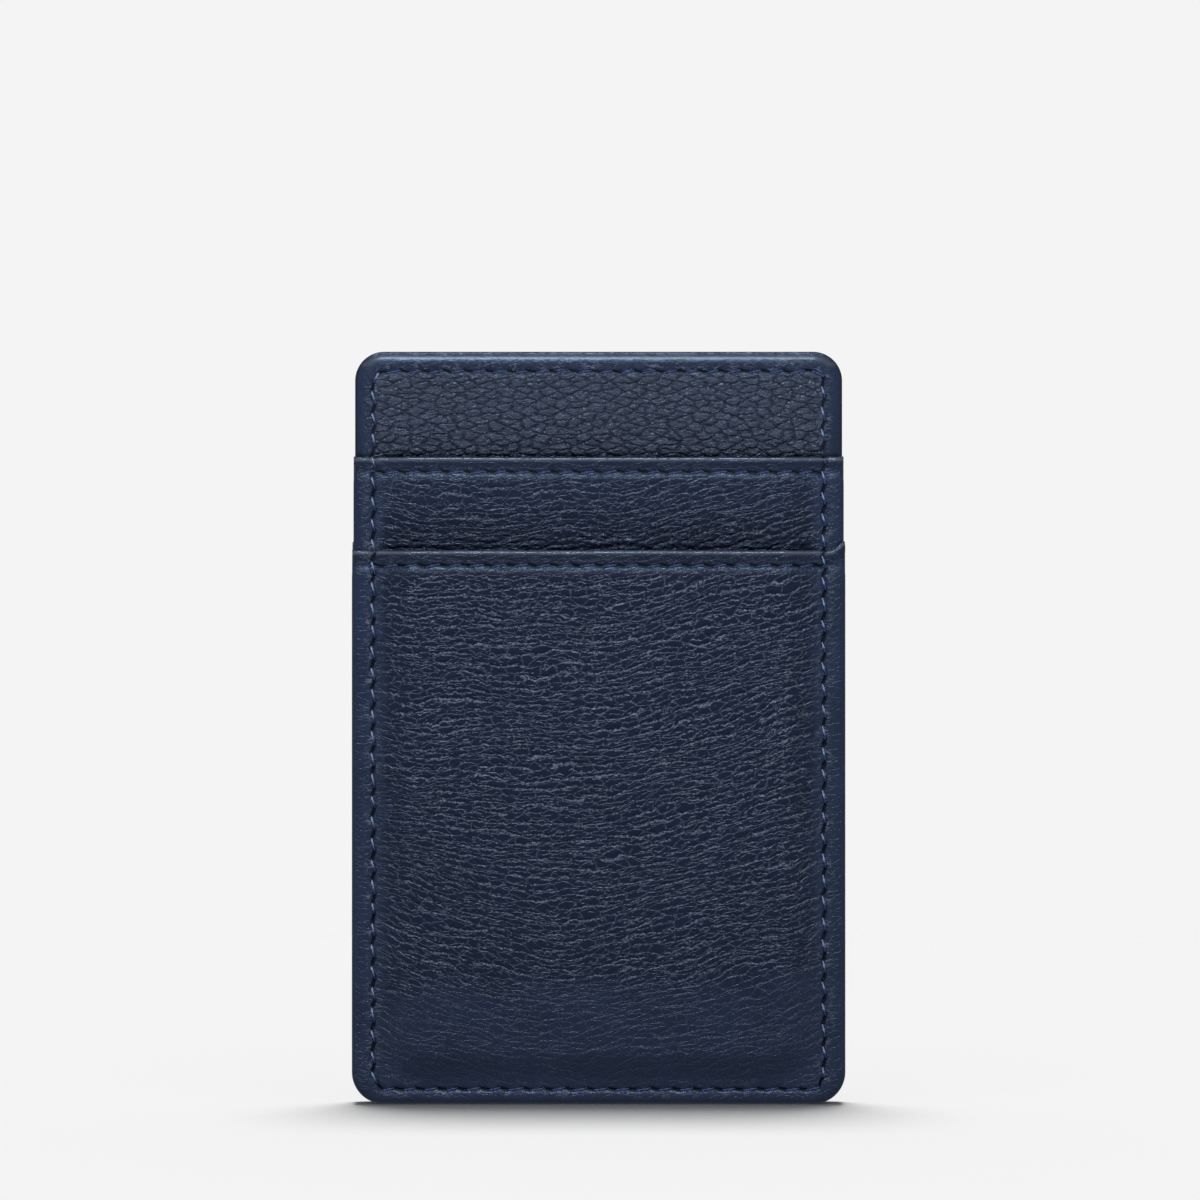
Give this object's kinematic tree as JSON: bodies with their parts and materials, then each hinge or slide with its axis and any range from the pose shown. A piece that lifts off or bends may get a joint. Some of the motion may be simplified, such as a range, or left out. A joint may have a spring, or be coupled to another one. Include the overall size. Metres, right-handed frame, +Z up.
{
  "type": "card holder",
  "caption": "Slim upright two-sided card holder in turned-edge leather, with staggered card slots and a stitched edge.",
  "frame": {"origin": "middle of the bottom edge, on the joint between the front and rear halves", "axes": "+X across the holder to the right as seen from the front, +Y from the front face to the rear face, +Z up towards the slots' mouths"},
  "size_m": [0.0708, 0.0086, 0.108],
  "materials": {
    "facing_leather": "pebbled matt",
    "pocket_leather": "fine creased matt",
    "lining_cloth": "plain weave",
    "thread": "twisted thread",
    "stiffener_board": "bonded leather board"
  },
  "bodies": {
    "root": {"front_board": "stiffener_board", "rear_board": "stiffener_board", "front_facing": "facing_leather", "rear_facing": "facing_leather", "front_upper_pocket": "pocket_leather", "rear_upper_pocket": "pocket_leather", "front_lower_pocket": "pocket_leather", "rear_lower_pocket": "pocket_leather", "front_upper_lining": "lining_cloth", "rear_upper_lining": "lining_cloth", "front_lower_lining": "lining_cloth", "rear_lower_lining": "lining_cloth", "front_perimeter_stitches": "thread", "rear_perimeter_stitches": "thread", "front_upper_hem_stitches": "thread", "rear_upper_hem_stitches": "thread", "front_lower_hem_stitches": "thread", "rear_lower_hem_stitches": "thread", "front_pocket_floor_stitches": "thread", "rear_pocket_floor_stitches": "thread"}
  },
  "joints": []
}
